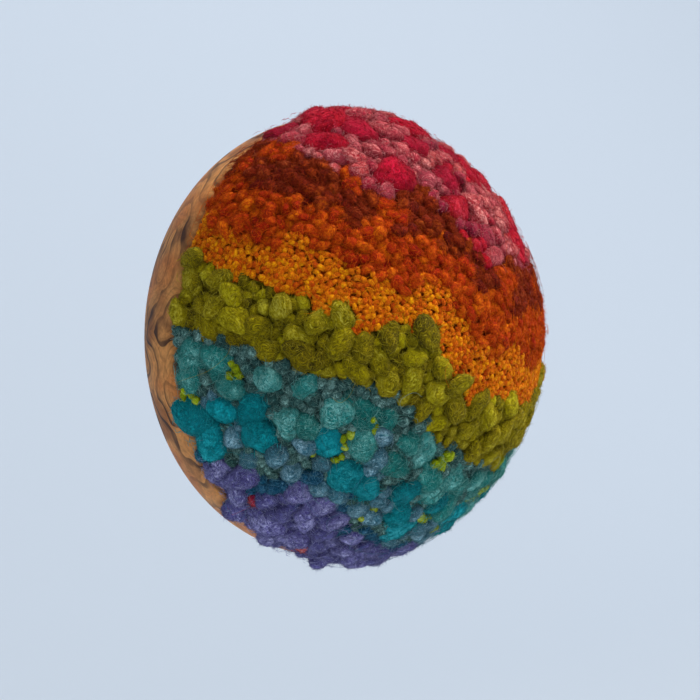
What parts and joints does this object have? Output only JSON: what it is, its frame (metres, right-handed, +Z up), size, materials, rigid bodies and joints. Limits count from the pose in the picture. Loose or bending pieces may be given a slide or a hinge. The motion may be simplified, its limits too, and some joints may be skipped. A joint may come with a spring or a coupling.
{
  "type": "punch needle wall piece in a wooden bowl",
  "caption": "Small round wall decoration: a dome of punched wool loops in wavy coloured stripes, set in a turned olive wood bowl with a flat foot.",
  "frame": {"origin": "centre of the bowl's flat foot, on the wall", "axes": "+Z up on the wall, -Y out of the wall towards the room, +X to the right seen from the room"},
  "size_m": [0.0985, 0.0689, 0.0998],
  "materials": {
    "olive_wood": "satin, oiled",
    "wool_pile": "matt, looped wool"
  },
  "bodies": {
    "root": {"bowl": "olive_wood", "pad": "wool_pile"}
  },
  "joints": []
}
